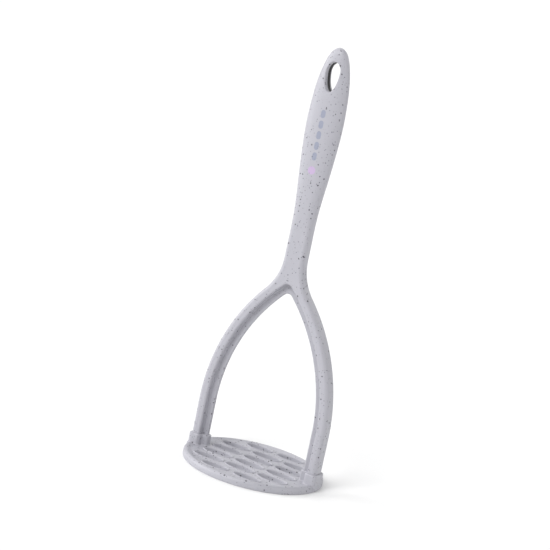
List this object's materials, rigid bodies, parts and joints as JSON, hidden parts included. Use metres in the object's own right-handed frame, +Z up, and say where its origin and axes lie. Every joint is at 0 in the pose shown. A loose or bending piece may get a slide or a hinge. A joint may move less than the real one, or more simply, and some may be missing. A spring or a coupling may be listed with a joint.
{
  "type": "potato masher",
  "caption": "Upright hand masher: tapered handle with a hanging eye, a two-legged fork and an oval slotted mashing plate, in a speckled soft skin over a dark frame.",
  "frame": {"origin": "centre of the underside of the mashing plate", "axes": "+Z up the handle, +X across the fork from leg to leg, -Y the front that carries the print"},
  "size_m": [0.0964, 0.0864, 0.28],
  "materials": {
    "speckled_skin": "matt soft-touch pale lilac grey with fine dark specks",
    "dark_nylon": "matt near-black moulded nylon"
  },
  "bodies": {
    "root": {"handle_frame": "dark_nylon", "handle_skin": "speckled_skin", "plate_insert": "dark_nylon", "plate_skin": "speckled_skin"}
  },
  "joints": []
}
